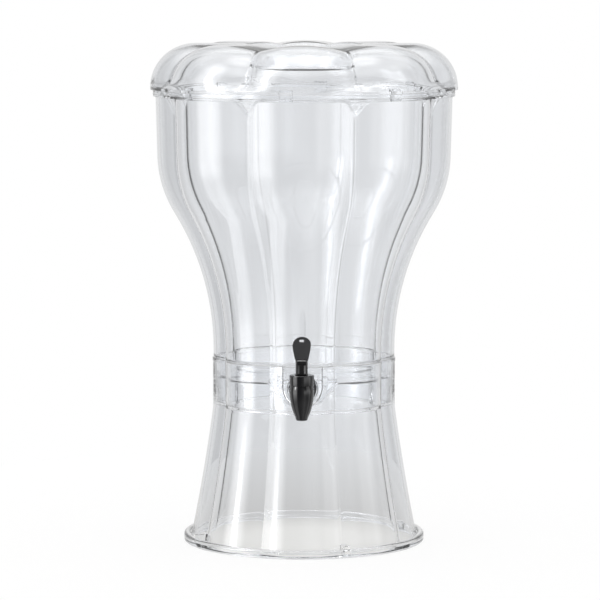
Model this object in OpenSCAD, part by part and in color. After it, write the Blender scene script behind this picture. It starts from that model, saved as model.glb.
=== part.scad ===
// Plastic drink dispenser: a lobed clear tank with a lever tap, standing in a lobed stand under a domed lid.
// Millimetres, +Z up, the tap faces -Y, the foot rests on Z = 0 and the axis of the tank is the Z axis.

/* [Lobes] */
// Lobes around the dispenser
lobe_count = 8; // [6:1:10]
// Centre of a lobe's arc, as a share of the crest radius
lobe_centre = 0.512; // [0.44:0.002:0.54]
// Facets across one lobe
lobe_steps = 8; // [4:2:10]

/* [Stand] */
// Outer radius of the foot ring
foot_r = 123; // [120:0.5:135]
// Height of the foot ring
foot_high = 8.4; // [6:0.1:14]
// Width of the foot ring, outer edge to inner edge
foot_band = 6.2; // [4:0.1:7]
// Rounding of the foot ring's edges
foot_round = 2; // [0.5:0.1:2.5]
// Height of the underside of the web inside the foot ring
web_low = 1; // [0.4:0.1:2]
// Gap between the lobes of the skirt and the foot ring
web_gap = 1; // [0.4:0.1:3]
// Wall of the stand
stand_wall = 2.8; // [2:0.1:3.2]
// How far the skirt curves in below a straight line
skirt_sag = 1.2; // [0:0.1:4]
// Outer radius of the collar at a lobe's crest
collar_r = 93; // [88:0.5:98]
// Height where the skirt turns into the collar
collar_low = 137.5; // [132:0.5:138.5]
// Height of the collar's top edge
collar_high = 188; // [184:0.5:192]
// How far the bead stands out from the collar
bead_out = 0.5; // [0.2:0.1:1]
// Width of the bead along the collar's edge and around the notch
bead_wide = 4; // [2.5:0.1:5]
// Height of the ledge that carries the tank
ledge_high = 143.5; // [142.5:0.1:144.5]
// Thickness of the ledge
ledge_thick = 3; // [2:0.1:3.6]
// How far the ledge reaches in from the collar
ledge_wide = 6.4; // [5:0.1:9]
// Width of the notch that the tap stands in
notch_wide = 42; // [38:0.5:44]

/* [Tank] */
// Wall of the tank at a lobe's crest
tank_wall = 3; // [2.4:0.1:3.4]
// Gap between the tank's foot and the collar
nest_gap = 0.5; // [0.4:0.05:0.9]
// Gap between the tank's step and the collar's top edge
step_gap = 0.7; // [0.4:0.1:2]
// Radius of the neck at a lobe's crest
neck_r = 92.5; // [91.5:0.5:96]
// Radius of the body at a lobe's crest
body_r = 149.2; // [140:0.2:149.6]
// Radius of the body under the flange
shoulder_r = 150.7; // [149.6:0.1:151.5]
// Radius of the flange
flange_r = 153.3; // [152.5:0.1:155]
// Height where the neck begins to flare
flare_low = 196; // [194:0.5:205]
// Height where the flare ends
flare_high = 396; // [380:1:410]
// Share of the flare bent outward, the rest bends back
flare_share = 0.7; // [0.5:0.01:0.8]
// Height of the flange's underside
flange_low = 454.5; // [445:0.5:456]
// Height of the tank's rim
rim_high = 461; // [458.5:0.5:463]
// Share of the lobes' depth that is left at the rim
rim_share = 0.25; // [0.2:0.01:0.4]
// Height of the arches that close the valleys under the flange
arch_high = 30; // [20:1:32]
// Height of the tank's floor
floor_high = 171; // [168:0.5:176]
// Thickness of the floor
floor_thick = 3; // [2.4:0.1:4]
// Rounding where the floor meets the wall
floor_round = 2; // [1:0.5:5]
// Height of the sump's floor at the tap
sump_high = 149.5; // [148.8:0.1:150.2]
// Half width of the sump at its floor
sump_half = 13; // [10:0.5:16]
// Slope of the sump's sides from level
sump_slope = 46; // [42:1:55]
// Length of the sump, front to back
sump_long = 34; // [28:1:40]
// Radius of the flat pad under the tap's washers
pad_r = 15.2; // [15:0.1:15.6]
// How far the pad stands out of the front lobe
pad_out = 0.9; // [0.6:0.1:1.5]

/* [Lid] */
// Radius of the lid at a lobe's crest
lid_r = 156; // [154.5:0.5:162]
// Height of the lobes' crests
lid_high = 508; // [500:1:516]
// Radius where the dome turns level
dome_r = 110; // [100:1:118]
// Height where the dome starts to bend in
dome_low = 464; // [464:0.5:468]
// Wall of the lid
lid_wall = 2.5; // [2:0.1:3]
// Radius of the well at its floor
well_r = 46; // [40:0.5:50]
// Height of the well's floor
well_high = 484.5; // [478:0.5:490]
// Draft of the well, floor to top
well_draft = 6; // [3:0.5:9]
// Width of the rounding at the top of the well
well_round = 8; // [5:0.5:12]
// How far the valleys dip at the well
well_dip = 2.6; // [0:0.1:5]
// Depth of the ring that centres the lid in the tank
plug_deep = 3.5; // [2.5:0.1:4.5]
// Gap between that ring and the tank
plug_gap = 1; // [0.6:0.1:1.5]
// Depth of the tabs under the rim of the lid
tab_deep = 6; // [5:0.5:8]
// Width of a tab
tab_wide = 13; // [8:0.5:16]
// Turn of the tabs away from the lobes' crests
tab_turn = -6; // [-9:0.5:9]

/* [Tap] */
// Height of the shank's axis
shank_z = 166; // [165.5:0.1:166.8]
// Radius of the shank
shank_r = 8; // [7.6:0.1:8.4]
// Radius of the bore through the shank
inlet_r = 3.5; // [3:0.1:3.7]
// How far the shank stands out behind the nut
shank_end = 3; // [1:0.5:6]
// Gap around the shank in the tank and the washers
shank_gap = 0.3; // [0.2:0.05:0.5]
// Radius of the flange against the washer
tap_flange_r = 13; // [12.6:0.1:13.2]
// Thickness of that flange
tap_flange_thick = 3; // [2:0.1:4]
// Radius of the washers
washer_r = 13.6; // [13.3:0.1:14.2]
// Thickness of a washer
washer_thick = 2.5; // [1.5:0.1:3]
// Width of the lock nut across its flats
nut_flats = 24; // [22:0.5:25]
// Thickness of the lock nut
nut_thick = 7; // [5:0.5:9]
// Distance from the pad to the axis of the barrel
tap_reach = 42.4; // [40:0.2:50]
// Radius of the barrel
barrel_r = 12.3; // [11.8:0.1:12.8]
// Height of the barrel's top above the shank
barrel_high = 10; // [9.4:0.1:10.6]
// Radius of the barrel's tip
tip_r = 5.5; // [5.1:0.1:6]
// Depth of the tip below the shank
tip_low = 24.8; // [24:0.2:30]
// Radius of the outlet
outlet_r = 3.6; // [2.8:0.1:4]
// Depth of the valve seat below the shank
seat_low = 12.5; // [12:0.1:13]
// Radius of the chamber in the barrel
chamber_r = 8.4; // [8:0.1:8.8]
// Radius of the bonnet
bonnet_r = 12.2; // [12:0.1:12.6]
// Height of the bonnet above the barrel
bonnet_high = 10.2; // [10:0.1:11]
// Depth of the bonnet's plug in the barrel
plug_low = 4; // [3.6:0.1:4.2]
// Radius of the bonnet's plug
plug_r = 9.4; // [9.2:0.1:9.8]
// Depth of the lever's slot in the bonnet
slot_deep = 6.9; // [6.8:0.05:7.2]
// Width of the lever's slot in the bonnet
slot_wide = 13; // [12.8:0.1:13.4]
// Width of the lever at the bonnet
lever_wide = 11.8; // [11.2:0.1:11.9]
// Width of the lever's head
head_wide = 18; // [16:0.5:20]
// Height of the lever above the bonnet
lever_high = 38; // [34:0.5:42]
// Height of the ledge across the lever above the bonnet
lever_ledge = 15.4; // [13:0.2:18]
// Tilt of the lever when the tap is open, in degrees
lever_tilt = 35; // [25:1:36]
// Radius of the pivot pin
pin_r = 1.1; // [0.9:0.05:1.2]
// Running gap of the lever on its pin
pin_gap = 0.05; // [0.02:0.01:0.09]
// Distance from the pin to the stem's axis
crank = 4; // [3.9:0.05:4.1]
// Radius of the stem
stem_r = 1.6; // [1.4:0.05:1.7]
// Gap between pieces that slide past each other
slide_gap = 0.35; // [0.3:0.01:0.4]
// Radius of the spring's coil
coil_r = 4.6; // [4.3:0.1:4.8]
// Radius of the spring's wire
wire_r = 0.35; // [0.3:0.01:0.4]
// Turns of the spring
coil_turns = 5; // [4:0.5:5.5]

/* [Hidden] */
$fn = 72;
bite = 1;
skin = 0.6;
steps = lobe_count * lobe_steps;
step_turn = 360 / steps;
front_turn = -90;
web_high = web_low + stand_wall;
ring_in = foot_r - foot_band;
skirt_r = ring_in - web_gap;
collar_in = collar_r - stand_wall;
skirt_steps = 5;
notch_r = notch_wide / 2;
notch_z = shank_z + 2.5;
foot_out = collar_in - nest_gap;
foot_in = foot_out - tank_wall;
step_high = collar_high + step_gap;
floor_low = floor_high - floor_thick;
flare_rise = flare_high - flare_low;
flare_turn = 2 * atan((body_r - neck_r) / flare_rise);
flare_sum = flare_rise / sin(flare_turn);
flare_r = flare_sum * flare_share;
bend_r = flare_sum - flare_r;
flare_steps = 5;
mouth_r = shoulder_r - tank_wall;
lobe_y = lobe_centre * foot_in;
lobe_r = foot_in - lobe_y;
sump_r = lobe_r - skin;
sump_front = lobe_y + sump_r;
sump_back = sump_front - sump_long;
pad_front = foot_out + pad_out;
pad_back = lobe_y + sqrt(sump_r * sump_r - pad_r * pad_r) - skin / 2;
dome_wide = lid_r - dome_r;
dome_tall = lid_high - dome_low;
dome_steps = 6;
pillow_r = well_r + well_draft + well_round;
pillow_gain = lid_r / (lid_r - pillow_r);
valley = 1 - lobe_centre * cos(180 / lobe_count)
    - sqrt(pow(1 - lobe_centre, 2) - pow(lobe_centre * sin(180 / lobe_count), 2));
rim_valley = 1 - valley * rim_share;
arch_steps = 3;
arch_low = flange_low - arch_high;
arch_in_low = arch_low + arch_high / 3;
recess_low = rim_high - plug_deep - 0.7;
plug_out = mouth_r - plug_gap;
tab_reach = abs(tab_turn) + atan(tab_wide / 2 / plug_out);
tab_in = (plug_out - lid_wall) * (1 - fall(tab_reach)) - skin / 2;
tap_y = pad_front + tap_reach;
washer_out = pad_front + washer_thick;
flange_front = washer_out + tap_flange_thick;
washer_in = pad_back - washer_thick;
nut_back = washer_in - nut_thick;
barrel_top = shank_z + barrel_high;
tip_z = shank_z - tip_low;
seat_z = shank_z - seat_low;
bonnet_top = barrel_top + bonnet_high;
plug_z = barrel_top - plug_low;
rim_z = plug_z - 1.3;
slot_z = bonnet_top - slot_deep;
plate_z = slot_z - 1.6;
pin_z = slot_z + 3.7;
hub_r = pin_r + 1.3;
cam_r = 1.5;
cam_z = pin_z - crank * 0.275;
lever_half = lever_wide / 2;
fork_half = stem_r + slide_gap + 0.25;
lever_front = crank + 2.4;
lever_back = crank - 1.6;
lever_edge = 1.2;
paddle_front = lever_front - 1.6;
lever_top = bonnet_top + lever_high;
ledge_z = bonnet_top + lever_ledge;
head_r = head_wide / 2;
bar_z = cam_z + cam_r + slide_gap;
bar_half = 1.2;
knob_r = 2.4;
knob_z = seat_z + 2.3;
knob_high = 3;
shoulder_z = shank_z + 2.6;
shoulder_thick = 1.4;
coil_low = shoulder_z + wire_r;
coil_high = plate_z - wire_r;
coil_rings = 8;
wire_sides = 6;
clear_colour = [0.86, 0.90, 0.92, 0.45];
black_colour = [0.05, 0.05, 0.06];
seal_colour = [0.07, 0.07, 0.075];
steel_colour = [0.70, 0.71, 0.72];

// Share of the crest radius that a lobe has lost at a turn from its crest.
function fall(turn) = 1 - lobe_centre * cos(turn)
    - sqrt(pow(1 - lobe_centre, 2) - pow(lobe_centre * sin(turn), 2));

// Stations of a loft: crest radius, crest height, how far the fall moves it in and down, and its least radius.
function lobed(r, z) = [r, z, r, 0, 0];
function rimmed(r, z) = [r, z, r * rim_share, 0, 0];
function arched(r, z, least) = [r, z, r, 0, least];
function plain(r, z) = [r, z, 0, 0, 0];
function pillow(r, z) = [r, z, (r - pillow_r) * pillow_gain, (z - dome_low) * pillow_gain, 0];
function dipped(r, z, low) = [r, z, 0, low / valley, 0];

function lobe_turn(i) = ((i + lobe_steps / 2) % lobe_steps - lobe_steps / 2) * step_turn;
function on_ring(s, i) =
    let (lost = fall(lobe_turn(i)), r = max(s[0] - s[2] * lost, s[4]), turn = front_turn + i * step_turn)
    [r * cos(turn), r * sin(turn), s[1] - s[3] * lost];
function rings(stations) = [for (s = stations, i = [0 : steps - 1]) on_ring(s, i)];

// The two triangles between two rings whose points start at a and b.
function band(a, b) = [for (i = [0 : steps - 1], half = [0, 1])
    let (next = (i + 1) % steps)
    half == 0 ? [a + i, b + next, a + next] : [a + i, b + i, b + next]];

// A shell that runs around the axis without reaching it.
module ring_loft(stations) {
    count = len(stations);
    polyhedron(points = rings(stations),
        faces = [for (j = [0 : count - 1], face = band(j * steps, (j + 1) % count * steps)) face]);
}

// A shell closed at both ends on the axis, from its underside out, up and back in.
module disc_loft(low, stations, high) {
    count = len(stations);
    last = 1 + (count - 1) * steps;
    tip = 1 + count * steps;
    polyhedron(points = concat([[0, 0, low]], rings(stations), [[0, 0, high]]),
        faces = concat(
            [for (i = [0 : steps - 1]) [0, 1 + i, 1 + (i + 1) % steps]],
            [for (j = [0 : count - 2], face = band(1 + j * steps, 1 + (j + 1) * steps)) face],
            [for (i = [0 : steps - 1]) [last + i, tip, last + (i + 1) % steps]]));
}

// Extrudes a shape drawn in X and Z from one depth to another in front of the axis.
module to_front(from, to) {
    translate([0, -from, 0])
    rotate([90, 0, 0])
    linear_extrude(to - from)
    children();
}

// A rod along the front direction.
module front_rod(r, from, to) {
    to_front(from, to)
    translate([0, shank_z])
    circle(r);
}

// A rod across the tap, centred on it.
module cross_rod(r, y, z, half) {
    translate([-half, y, z])
    rotate([0, 90, 0])
    cylinder(r = r, h = 2 * half);
}

// Moves to the vertical axis of the tap, where +Y still points back to the tank.
module at_tap() {
    translate([0, -tap_y, 0])
    children();
}

function skirt_at(t, low_r, high_r) = low_r + (high_r - low_r) * t - skirt_sag * 4 * t * (1 - t);
function skirt(low_r, low_z, high_r, high_z) = [for (k = [0 : skirt_steps])
    let (t = k / skirt_steps)
    lobed(skirt_at(t, low_r, high_r), low_z + (high_z - low_z) * t)];
function turned(list) = [for (k = [len(list) - 1 : -1 : 0]) list[k]];

function stand_stations() = concat(
    [plain(ring_in + foot_round / 4, 0), plain(foot_r - foot_round, 0), plain(foot_r, foot_round),
        plain(foot_r, foot_high - foot_round), plain(foot_r - foot_round, foot_high),
        plain(ring_in + foot_round / 2, foot_high), plain(ring_in, foot_high - foot_round / 2),
        plain(ring_in, web_high)],
    skirt(skirt_r, web_high, collar_r, collar_low),
    [lobed(collar_r, collar_high - bead_wide), lobed(collar_r + bead_out, collar_high - bead_wide + bead_out),
        lobed(collar_r + bead_out, collar_high), lobed(collar_in, collar_high),
        lobed(collar_in, ledge_high), lobed(collar_in - ledge_wide, ledge_high),
        lobed(collar_in - ledge_wide, ledge_high - ledge_thick), lobed(collar_in, ledge_high - ledge_thick)],
    turned(skirt(skirt_r - stand_wall, web_low, collar_in, collar_low)),
    [plain(ring_in + foot_round / 4, web_low)]);

module notch_shape(r) {
    translate([0, notch_z])
    circle(r);
    translate([-r, notch_z])
    square([2 * r, collar_high - notch_z]);
}

module notch_bead() {
    bead_y = lobe_centre * collar_r;
    bead_r = collar_r - bead_y;
    intersection() {
        to_front(collar_in - bead_wide, collar_r + bite)
        notch_shape(notch_r + bead_wide);
        translate([0, -bead_y, ledge_high])
        difference() {
            cylinder(r = bead_r + bead_out, h = collar_high - ledge_high);
            translate([0, 0, -bite])
            cylinder(r = bead_r - stand_wall / 2, h = collar_high - ledge_high + 2 * bite);
        }
    }
}

module base_stand() {
    color(clear_colour)
    difference() {
        union() {
            ring_loft(stand_stations());
            notch_bead();
        }
        to_front(collar_in * (1 - fall(180 / lobe_count)) - notch_r, collar_r + 2 * bite)
        union() {
            notch_shape(notch_r);
            translate([-notch_r, notch_z])
            square([notch_wide, collar_high - notch_z + bite]);
        }
    }
}

// The flare as two tangent arcs, moved in by the wall for the inner face.
function flare(wall) = concat(
    [for (k = [0 : flare_steps])
        let (turn = flare_turn * k / flare_steps)
        lobed(neck_r + flare_r - (flare_r + wall) * cos(turn), flare_low + (flare_r + wall) * sin(turn))],
    [for (k = [flare_steps - 1 : -1 : 0])
        let (turn = flare_turn * k / flare_steps)
        lobed(body_r - bend_r + (bend_r - wall) * cos(turn), flare_high - (bend_r - wall) * sin(turn))]);

// The wall under the flange, where arches widen the valleys until they reach the least radius at the top.
function arch(low_r, low_z, high_r, high_z) = [for (k = [0 : arch_steps])
    let (t = k / arch_steps, least = low_r * (1 - valley))
    arched(low_r + (high_r - low_r) * t, low_z + (high_z - low_z) * t,
        least + (high_r * rim_valley - least) * t * t)];
function wall_r(z) = body_r + (shoulder_r - body_r) * (z - flare_high) / (flange_low - flare_high);

function tank_stations() = concat(
    [lobed(foot_in, floor_low), lobed(foot_in, ledge_high), lobed(foot_out, ledge_high),
        lobed(foot_out, step_high), lobed(neck_r, step_high)],
    flare(0),
    arch(wall_r(arch_low), arch_low, shoulder_r, flange_low),
    [rimmed(flange_r, flange_low), rimmed(flange_r, rim_high), rimmed(mouth_r, rim_high), rimmed(mouth_r, recess_low)],
    turned(arch(wall_r(arch_in_low) - tank_wall, arch_in_low, mouth_r - skin, recess_low)),
    turned(flare(tank_wall)),
    [lobed(neck_r - tank_wall, step_high + tank_wall / 2), lobed(foot_in, step_high - tank_wall / 2),
        lobed(foot_in, floor_high + floor_round),
        lobed(foot_in - floor_round / 3, floor_high + floor_round / 3), lobed(foot_in - floor_round, floor_high)]);

module sump_shape(low, half, high) {
    run = (high - low) / tan(sump_slope);
    polygon([[-half, low], [half, low], [half + run, high], [-half - run, high]]);
}

module in_front_lobe(r) {
    intersection() {
        children();
        translate([0, -lobe_y, sump_high - 2 * floor_thick])
        cylinder(r = r, h = floor_high - sump_high + floor_round + 4 * floor_thick);
    }
}

module sump_shell() {
    in_front_lobe(lobe_r + tank_wall / 2)
    to_front(sump_back - tank_wall, foot_out)
    sump_shape(sump_high - floor_thick, sump_half + floor_thick * tan(sump_slope / 2), floor_high - floor_thick / 2);
}

module sump_hollow() {
    in_front_lobe(sump_r)
    to_front(sump_back, foot_out)
    sump_shape(sump_high, sump_half, floor_high + floor_round + bite);
}

module tank() {
    color(clear_colour)
    difference() {
        union() {
            difference() {
                union() {
                    disc_loft(floor_low, tank_stations(), floor_high);
                    sump_shell();
                }
                sump_hollow();
            }
            front_rod(pad_r, pad_back, pad_front);
        }
        front_rod(shank_r + shank_gap, pad_back - bite, pad_front + bite);
    }
}

// The dome from above its foot to the start of the level crest, moved in by the wall for the inner face.
function dome(wall) = [for (k = [1 : dome_steps])
    let (turn = 90 * k / dome_steps)
    pillow(dome_r + (dome_wide - wall) * cos(turn), dome_low + (dome_tall - wall) * sin(turn))];

function well_top(wall) = [
    dipped(pillow_r + wall / 4, lid_high - wall, well_dip),
    dipped(pillow_r - well_round * 0.6, lid_high - well_round * 0.2 - wall, well_dip / 2),
    plain(well_r + well_draft + wall, lid_high - well_round - wall / 2)];

function lid_stations() = concat(
    [plain(well_r + lid_wall - 1, well_high - lid_wall), plain(well_r + lid_wall, well_high - lid_wall + 1)],
    turned(well_top(lid_wall)),
    turned(dome(lid_wall)),
    [rimmed(lid_r - lid_wall, dome_low), rimmed(plug_out - lid_wall, dome_low),
        rimmed(plug_out - lid_wall, rim_high - plug_deep), rimmed(plug_out, rim_high - plug_deep),
        rimmed(plug_out, rim_high), rimmed(lid_r, rim_high), rimmed(lid_r, dome_low)],
    dome(0),
    well_top(0),
    [plain(well_r, well_high)]);

module lid() {
    color(clear_colour)
    union() {
        disc_loft(well_high - lid_wall, lid_stations(), well_high);
        for (k = [0 : lobe_count - 1])
            rotate(front_turn + tab_turn + k * 360 / lobe_count)
            translate([tab_in, -tab_wide / 2, rim_high - tab_deep])
            cube([lid_wall - skin / 2, tab_wide, tab_deep - skin]);
    }
}

// The barrel as an arc that leans in to the tip.
module barrel_shape() {
    lean = barrel_r - tip_r;
    tall = barrel_top - tip_z;
    polygon(concat([[0, tip_z], [tip_r - skin / 2, tip_z], [tip_r, tip_z + skin]],
        [for (k = [1 : 8])
            let (t = k / 8)
            [tip_r + lean * (1 - pow(1 - t, 2.1)), tip_z + 2 * skin + (tall - 2 * skin) * t]],
        [[0, barrel_top]]));
}

module barrel_hollow() {
    polygon([[0, tip_z - bite], [outlet_r + skin, tip_z - bite], [outlet_r + skin, tip_z], [outlet_r, tip_z + 2 * skin],
        [outlet_r, seat_z], [chamber_r - 2.4, seat_z], [chamber_r, seat_z + 4.5], [chamber_r, rim_z],
        [plug_r, rim_z], [plug_r, barrel_top + bite], [0, barrel_top + bite]]);
}

module spigot_body() {
    color(black_colour)
    difference() {
        union() {
            at_tap()
            rotate_extrude()
            barrel_shape();
            front_rod(shank_r, nut_back - shank_end, tap_y);
            front_rod(tap_flange_r, washer_out, flange_front);
        }
        at_tap()
        rotate_extrude()
        barrel_hollow();
        front_rod(inlet_r, nut_back - shank_end - bite, tap_y);
    }
}

module washer_at(from) {
    color(seal_colour)
    difference() {
        front_rod(washer_r, from, from + washer_thick);
        front_rod(shank_r + shank_gap, from - bite, from + washer_thick + bite);
    }
}

module outer_washer() {
    washer_at(pad_front);
}

module inner_washer() {
    washer_at(washer_in);
}

module lock_nut() {
    color(black_colour)
    difference() {
        to_front(nut_back, washer_in)
        translate([0, shank_z])
        circle(r = nut_flats / 2 / cos(30), $fn = 6);
        front_rod(shank_r, nut_back - bite, washer_in + bite);
    }
}

module bonnet_shape() {
    polygon([[stem_r + slide_gap, plate_z], [coil_r + wire_r + 1.2, plate_z], [coil_r + wire_r + 1.2, plug_z],
        [plug_r, plug_z], [plug_r, barrel_top], [bonnet_r, barrel_top], [bonnet_r, bonnet_top - skin],
        [bonnet_r - skin, bonnet_top], [stem_r + slide_gap, bonnet_top]]);
}

module bonnet() {
    color(black_colour)
    at_tap()
    difference() {
        rotate_extrude()
        bonnet_shape();
        intersection() {
            translate([-slot_wide / 2, -bonnet_r, slot_z])
            cube([slot_wide, bonnet_r + crank - 1, slot_deep + bite]);
            translate([0, 0, slot_z])
            cylinder(r = bonnet_r - 1.5, h = slot_deep + bite);
        }
        cross_rod(pin_r, -crank, pin_z, bonnet_r);
    }
}

module lever_outline() {
    head_z = lever_top - head_r;
    polygon([[-lever_half, pin_z], [lever_half, pin_z], [lever_half, ledge_z - 1], [lever_half + 0.7, ledge_z],
        [head_r - 0.4, head_z - 2.6], [head_r, head_z], [-head_r, head_z], [-head_r + 0.4, head_z - 2.6],
        [-lever_half - 0.7, ledge_z], [-lever_half, ledge_z - 1]]);
    translate([0, head_z])
    circle(head_r);
}

module lever_hole() {
    hole_z = lever_top - 4;
    for (side = [-1, 1])
        translate([side * 1.4, hole_z])
        circle(1.5);
    translate([-1.4, hole_z - 1.5])
    square([2.8, 3]);
}

module lever() {
    recess_half = lever_half - 2.3;
    color(black_colour)
    at_tap()
    difference() {
        union() {
            to_front(lever_back, paddle_front)
            lever_outline();
            translate([0, 0, pin_z])
            linear_extrude(ledge_z - pin_z)
            polygon([[-lever_half, -lever_back], [-lever_half, lever_edge - lever_front],
                [lever_edge - lever_half, -lever_front], [lever_half - lever_edge, -lever_front],
                [lever_half, lever_edge - lever_front], [lever_half, -lever_back]]);
            cross_rod(hub_r, -crank, pin_z, lever_half);
            translate([-lever_half, -crank, cam_z - cam_r * 0.8])
            cube([lever_wide, crank, cam_r * 1.5]);
            cross_rod(cam_r, 0, cam_z, lever_half);
        }
        cross_rod(pin_r + pin_gap, -crank, pin_z, lever_half + bite);
        for (tilt = [0, lever_tilt])
            translate([0, -crank, pin_z])
            rotate([-tilt, 0, 0])
            translate([-fork_half, crank - fork_half, -crank])
            cube([2 * fork_half, crank, 2 * crank]);
        to_front(lever_back - bite, lever_front)
        lever_hole();
        to_front(lever_front - 1.4, lever_front + bite) {
            translate([-recess_half, bonnet_top + 1.5])
            square([2 * recess_half, lever_ledge - 4 - recess_half]);
            translate([0, ledge_z - 2.5 - recess_half])
            circle(recess_half);
        }
    }
}

module pivot_pin() {
    color(steel_colour)
    at_tap()
    cross_rod(pin_r, -crank, pin_z, sqrt(bonnet_r * bonnet_r - crank * crank) - skin / 2);
}

module valve_stem() {
    bar_long = lever_half - skin / 2;
    color(black_colour)
    at_tap() {
        rotate_extrude()
        polygon([[0, knob_z], [knob_r, knob_z], [knob_r, knob_z + knob_high], [stem_r, knob_z + knob_high + 0.4],
            [stem_r, shoulder_z - shoulder_thick], [coil_r + wire_r + 0.3, shoulder_z - shoulder_thick],
            [coil_r + wire_r + 0.3, shoulder_z], [stem_r, shoulder_z], [stem_r, bar_z + skin], [0, bar_z + skin]]);
        translate([-bar_long, -bar_half, bar_z])
        cube([2 * bar_long, 2 * bar_half, bonnet_top - skin / 2 - bar_z]);
    }
}

// The wire as one unbroken tube along a helix, closed at both ends.
module return_spring() {
    sections = coil_turns * coil_rings;
    pitch = (coil_high - coil_low) / coil_turns;
    echo(spring_self_gap = pitch - 2 * wire_r);
    points = [for (k = [0 : sections], s = [0 : wire_sides - 1])
        let (turn = k * 360 / coil_rings, side = s * 360 / wire_sides, r = coil_r + wire_r * cos(side))
        [r * cos(turn), r * sin(turn), coil_low + pitch * k / coil_rings + wire_r * sin(side)]];
    walls = [for (k = [0 : sections - 1], s = [0 : wire_sides - 1], half = [0, 1])
        let (a = k * wire_sides, b = a + wire_sides, next = (s + 1) % wire_sides)
        half == 0 ? [a + s, a + next, b + next] : [a + s, b + next, b + s]];
    ends = [[for (s = [wire_sides - 1 : -1 : 0]) s], [for (s = [0 : wire_sides - 1]) sections * wire_sides + s]];
    color(steel_colour)
    at_tap()
    polyhedron(points = points, faces = concat(walls, ends));
}

module seat_cup() {
    pocket_r = knob_r + 0.1;
    bell_r = coil_r + wire_r + 1.1;
    color(seal_colour)
    at_tap()
    rotate_extrude()
    polygon([[0, seat_z], [outlet_r + 2, seat_z], [outlet_r + 2, seat_z + 2.5], [pocket_r + 1.6, knob_z + 1.5],
        [pocket_r + 1.5, knob_z + knob_high + 1.2], [bell_r + 0.9, shank_z], [bell_r + 0.9, rim_z - 1],
        [chamber_r - 0.3, rim_z + 0.05], [plug_r - 0.1, rim_z + 0.05], [plug_r - 0.1, plug_z], [bell_r + 0.4, plug_z], [bell_r + 0.1, rim_z - 0.4],
        [bell_r, shank_z], [stem_r + slide_gap, knob_z + knob_high + 1.4],
        [stem_r + slide_gap, knob_z + knob_high + 0.5], [pocket_r, knob_z + knob_high + 0.1], [pocket_r, knob_z],
        [0, knob_z]]);
}

base_stand();
tank();
lid();
spigot_body();
outer_washer();
inner_washer();
lock_nut();
bonnet();
lever();
pivot_pin();
valve_stem();
return_spring();
seat_cup();
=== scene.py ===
"""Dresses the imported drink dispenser: clear lobed shells, a black lever tap and a pale studio."""
import math

import bmesh
import bpy
from mathutils import Matrix


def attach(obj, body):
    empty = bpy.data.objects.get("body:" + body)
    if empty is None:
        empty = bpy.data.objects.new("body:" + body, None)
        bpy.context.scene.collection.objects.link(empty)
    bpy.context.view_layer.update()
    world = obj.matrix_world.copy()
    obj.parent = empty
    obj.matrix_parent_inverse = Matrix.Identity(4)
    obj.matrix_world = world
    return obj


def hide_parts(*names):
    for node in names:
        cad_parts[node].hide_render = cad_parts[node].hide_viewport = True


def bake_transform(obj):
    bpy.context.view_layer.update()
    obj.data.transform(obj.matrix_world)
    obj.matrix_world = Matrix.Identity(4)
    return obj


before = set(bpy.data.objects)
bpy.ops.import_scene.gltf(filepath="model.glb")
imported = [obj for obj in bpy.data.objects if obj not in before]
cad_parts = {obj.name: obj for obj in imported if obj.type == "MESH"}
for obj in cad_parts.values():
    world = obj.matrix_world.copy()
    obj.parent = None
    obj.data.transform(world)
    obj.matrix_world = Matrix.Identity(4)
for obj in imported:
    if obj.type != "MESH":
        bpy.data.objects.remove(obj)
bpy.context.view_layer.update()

bl_info = {
    "name": "Drink dispenser",
    "version": (1, 0, 0),
    "blender": (4, 5, 0),
    "location": "View3D > Sidebar > Dispenser",
    "description": "Clear lobed shells, a lever tap and a pale studio around the packed dispenser",
    "category": "Object",
}

# Lengths of the pieces are millimetres, as in the part's source, and each piece is brought to metres at the end.
MM = 0.001

LOBES = 8
LOBE_CENTRE = 0.512
LOBE_TURN = 2 * math.pi / LOBES
HALF_LOBE = LOBE_TURN / 2
FRONT = -math.pi / 2
VALLEY_CROWD = 1.6
# Flat that a full rounding leaves, so that its two corners don't meet.
ROUND_GAP = 0.02

# Stand
FOOT_R, FOOT_HIGH, RING_IN, RING_LIP = 123.0, 8.4, 116.8, 0.5
WEB_LOW, WEB_HIGH, SKIRT_R = 1.0, 3.8, 115.8
LUGS, LUG_IN, LUG_OUT, LUG_WIDE, LUG_LOW, LUG_HIGH, LUG_ROUND = 4, 105.2, 119.5, 6.5, 1.6, 11.5, 0.8
STAND_WALL, SKIRT_SAG = 2.8, 1.2
COLLAR_R, COLLAR_IN, COLLAR_LOW, COLLAR_HIGH = 93.0, 90.2, 137.5, 188.0
BEAD_OUT, BEAD_WIDE, NOTCH_BEAD_OUT = 0.5, 4.0, 0.8
LEDGE_LOW, LEDGE_HIGH, LEDGE_R = 140.5, 143.4, 83.8
NOTCH_R, NOTCH_Z = 21.0, 168.5
NOTCH_CUT_R, NOTCH_BACK, NOTCH_DRAFT = 22.0, 62.0, 10.0

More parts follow.
